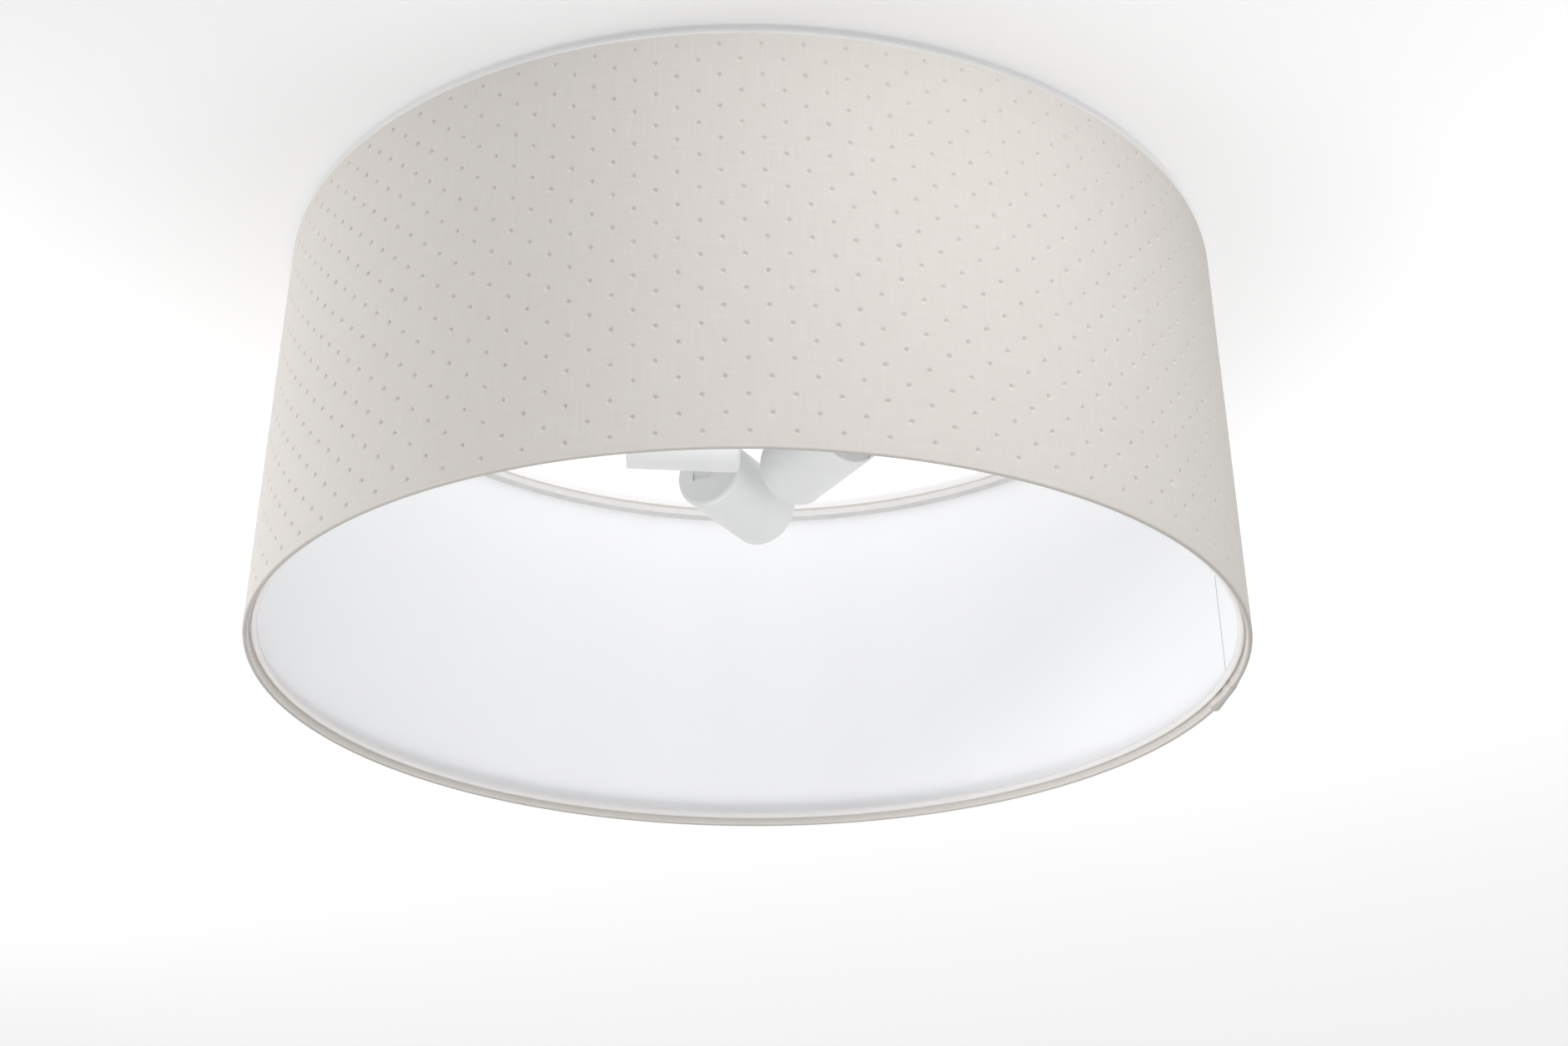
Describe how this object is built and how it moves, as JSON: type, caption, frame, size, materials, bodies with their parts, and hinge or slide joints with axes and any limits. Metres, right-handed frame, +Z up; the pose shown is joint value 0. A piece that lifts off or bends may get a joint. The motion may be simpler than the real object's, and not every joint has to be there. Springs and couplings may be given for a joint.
{
  "type": "drum ceiling light",
  "caption": "Flush ceiling light: wide tapered fabric drum on a wire spider, clamped under a ceiling cup on a short stem, with level screw-socket lamp sleeves set as a pinwheel.",
  "frame": {"origin": "centre of the ceiling strap, on the ceiling face", "axes": "+Z up into the ceiling, X along the strap, -Y towards the side that the picture was taken from"},
  "size_m": [0.5999, 0.6, 0.258],
  "materials": {
    "drum_fabric": "fine linen-look weave with pressed dimples",
    "drum_lining": "smooth white laminate",
    "rim_fabric": "folded fabric edge",
    "seam_film": "clear white tape",
    "white_paint": "white powder coat",
    "zinc_steel": "bright zinc plate",
    "knurled_nickel": "nickel plate, knurled",
    "nickel_shell": "nickel-plated rolled thread",
    "brass": "bare brass",
    "sleeve_plastic": "white satin moulding",
    "socket_plastic": "white heat-proof moulding",
    "terminal_plastic": "milky moulding",
    "grey_plastic": "grey moulding",
    "fibre_washer": "red-brown fibre",
    "lead_sheath": "white silicone sheath"
  },
  "bodies": {
    "fixture": {"ceiling_strap": "zinc_steel", "earth_screw": "brass", "terminal_block": "terminal_plastic", "terminal_barrels": "brass", "terminal_screws": "zinc_steel", "block_screw": "zinc_steel", "stem": "white_paint", "stem_nuts": "zinc_steel", "stem_cap": "grey_plastic", "star_plate": "white_paint", "main_flex": "lead_sheath", "splice_cap": "grey_plastic", "lamp_lead_1": "lead_sheath", "lamp_lead_2": "lead_sheath", "lamp_lead_3": "lead_sheath"},
    "canopy": {"canopy": "white_paint"},
    "clamp": {"clamp_washer": "zinc_steel"},
    "clamp_nut": {"clamp_nut": "knurled_nickel"},
    "shade": {"shade_fabric": "drum_fabric", "shade_lining": "drum_lining", "bottom_roll": "rim_fabric", "top_roll": "rim_fabric", "bottom_ring": "zinc_steel", "top_ring": "zinc_steel", "seam_tape": "seam_film", "spider_plate": "white_paint", "spoke_1": "white_paint", "spoke_2": "white_paint", "spoke_3": "white_paint"},
    "holder_1": {"sleeve_1": "sleeve_plastic", "nipple_1": "zinc_steel", "nipple_nuts_1": "zinc_steel", "swivel_washer_1": "fibre_washer", "lead_tail_1": "lead_sheath", "socket_body_1": "socket_plastic", "screw_shell_1": "nickel_shell", "socket_screws_1": "brass", "sleeve_screw_1": "zinc_steel"},
    "contact_1": {"centre_contact_1": "brass"},
    "holder_2": {"sleeve_2": "sleeve_plastic", "nipple_2": "zinc_steel", "nipple_nuts_2": "zinc_steel", "swivel_washer_2": "fibre_washer", "lead_tail_2": "lead_sheath", "socket_body_2": "socket_plastic", "screw_shell_2": "nickel_shell", "socket_screws_2": "brass", "sleeve_screw_2": "zinc_steel"},
    "contact_2": {"centre_contact_2": "brass"},
    "holder_3": {"sleeve_3": "sleeve_plastic", "nipple_3": "zinc_steel", "nipple_nuts_3": "zinc_steel", "swivel_washer_3": "fibre_washer", "lead_tail_3": "lead_sheath", "socket_body_3": "socket_plastic", "screw_shell_3": "nickel_shell", "socket_screws_3": "brass", "sleeve_screw_3": "zinc_steel"},
    "contact_3": {"centre_contact_3": "brass"}
  },
  "joints": [
    {"name": "clamp_drop", "type": "slide", "parent": "fixture", "child": "clamp", "axis": [0, 0, -1], "range_m": [0, 0.019]},
    {"name": "canopy_drop", "type": "slide", "parent": "fixture", "child": "canopy", "axis": [0, 0, -1], "range_m": [0, 0.019]},
    {"name": "nut_turn", "type": "hinge", "parent": "clamp", "child": "clamp_nut", "pos_m": [0, 0, -0.039], "axis": [0, 0, 1], "continuous": true},
    {"name": "shade_turn", "type": "hinge", "parent": "clamp", "child": "shade", "pos_m": [0, 0, -0.032], "axis": [0, 0, 1], "continuous": true},
    {"name": "sleeve_swivel_1", "type": "hinge", "parent": "fixture", "child": "holder_1", "pos_m": [-0.02171, 0.0272, -0.11], "axis": [0, 0, 1], "range_deg": [-14, 28]},
    {"name": "contact_press_1", "type": "hinge", "parent": "holder_1", "child": "contact_1", "pos_m": [-0.00212, 0.04603, -0.11], "axis": [0, 0, 1], "range_deg": [0, 9], "stiffness_Nm_per_rad": 0.1},
    {"name": "sleeve_swivel_2", "type": "hinge", "parent": "fixture", "child": "holder_2", "pos_m": [0.03101, 0.01109, -0.11], "axis": [0, 0, 1], "range_deg": [-14, 28]},
    {"name": "contact_press_2", "type": "hinge", "parent": "holder_2", "child": "contact_2", "pos_m": [0.03771, -0.01524, -0.11], "axis": [0, 0, 1], "range_deg": [0, 9], "stiffness_Nm_per_rad": 0.1},
    {"name": "sleeve_swivel_3", "type": "hinge", "parent": "fixture", "child": "holder_3", "pos_m": [-0.0163, -0.0324, -0.11], "axis": [0, 0, 1], "range_deg": [-18, 24]},
    {"name": "contact_press_3", "type": "hinge", "parent": "holder_3", "child": "contact_3", "pos_m": [-0.04297, -0.02725, -0.11], "axis": [0, 0, 1], "range_deg": [0, 9], "stiffness_Nm_per_rad": 0.1}
  ],
  "couplings": [
    {"joint": "canopy_drop", "follows": "clamp_drop", "ratio": 1}
  ]
}
